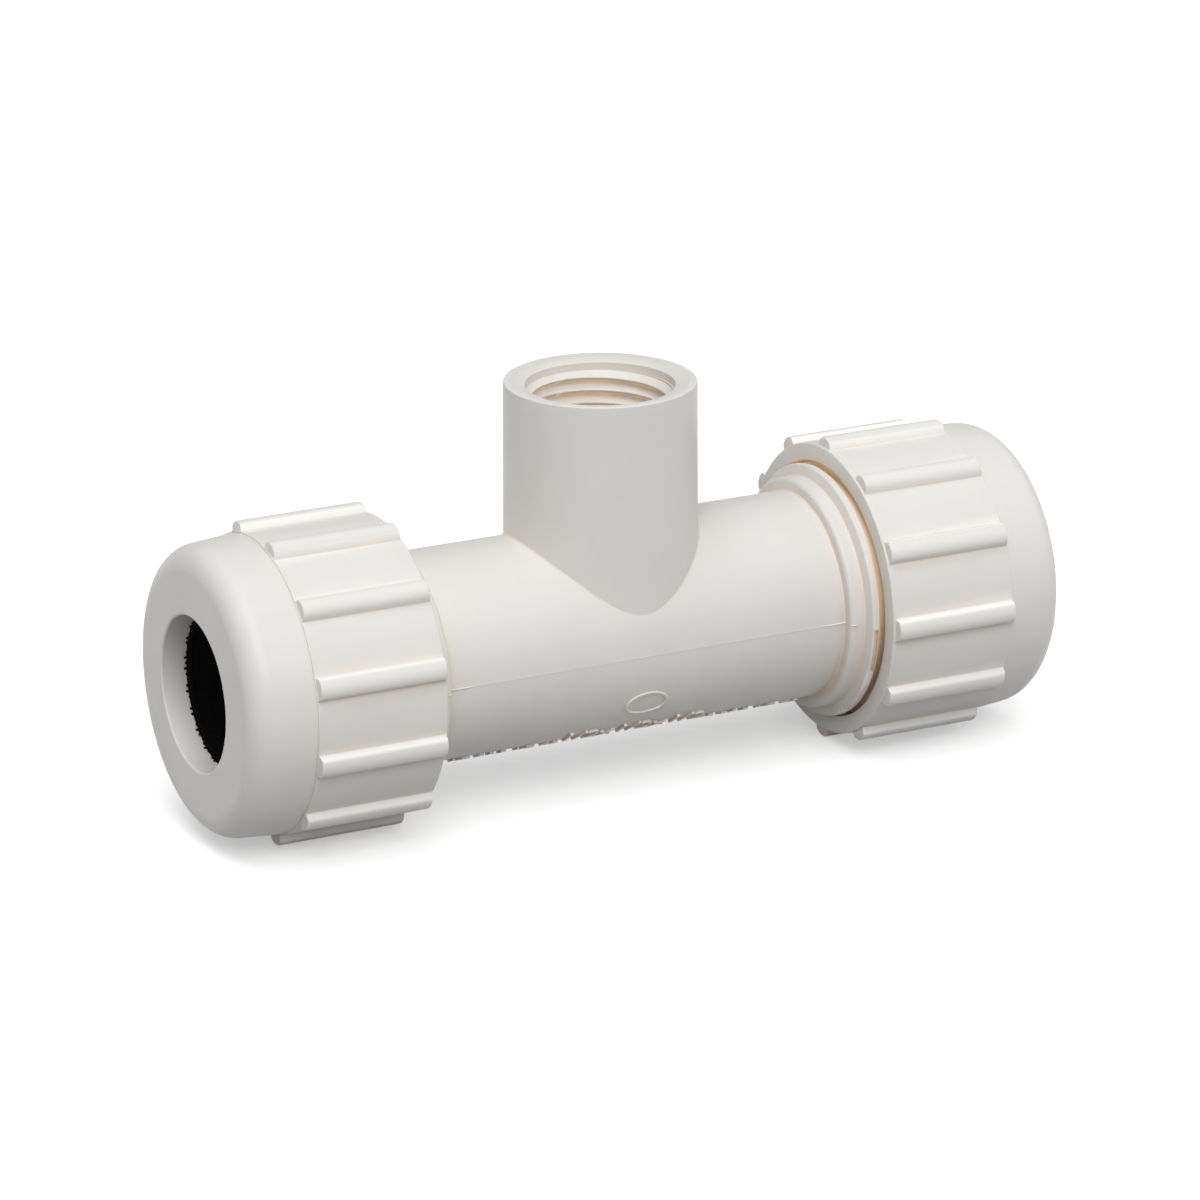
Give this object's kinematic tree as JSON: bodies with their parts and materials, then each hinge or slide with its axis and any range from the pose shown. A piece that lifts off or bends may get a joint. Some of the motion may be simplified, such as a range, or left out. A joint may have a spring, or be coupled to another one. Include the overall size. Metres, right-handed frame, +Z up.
{
  "type": "compression tee",
  "caption": "Moulded plastic compression tee: a straight run with a ribbed compression nut and rubber gasket at each end, and a branch with a female pipe thread.",
  "frame": {"origin": "where the run's axis and the branch's axis cross", "axes": "+X along the run towards the right nut, +Z up along the branch, towards its mouth"},
  "size_m": [0.1261, 0.045, 0.0585],
  "materials": {
    "body_plastic": "moulded rigid PVC, warm off-white, satin",
    "nut_plastic": "moulded rigid PVC, warm off-white, satin",
    "gasket_rubber": "black moulded rubber, matt"
  },
  "bodies": {
    "fitting": {"tee_body": "body_plastic"},
    "left_seal": {"left_gasket": "gasket_rubber"},
    "left_cap": {"left_nut": "nut_plastic"},
    "right_seal": {"right_gasket": "gasket_rubber"},
    "right_cap": {"right_nut": "nut_plastic"}
  },
  "joints": [
    {"name": "left_travel", "type": "slide", "parent": "fitting", "child": "left_seal", "axis": [-1, 0, 0], "range_m": [0, 0.0165]},
    {"name": "left_turn", "type": "hinge", "parent": "left_seal", "child": "left_cap", "pos_m": [-0.048, 0, 0], "axis": [-1, 0, 0], "range_deg": [0, 1980]},
    {"name": "right_travel", "type": "slide", "parent": "fitting", "child": "right_seal", "axis": [1, 0, 0], "range_m": [-0.0015, 0.015]},
    {"name": "right_turn", "type": "hinge", "parent": "right_seal", "child": "right_cap", "pos_m": [0.0495, 0, 0], "axis": [1, 0, 0], "range_deg": [-180, 1800]}
  ],
  "couplings": [
    {"joint": "left_travel", "follows": "left_turn", "m_per_rad": 0.00047746},
    {"joint": "right_travel", "follows": "right_turn", "m_per_rad": 0.00047746}
  ]
}
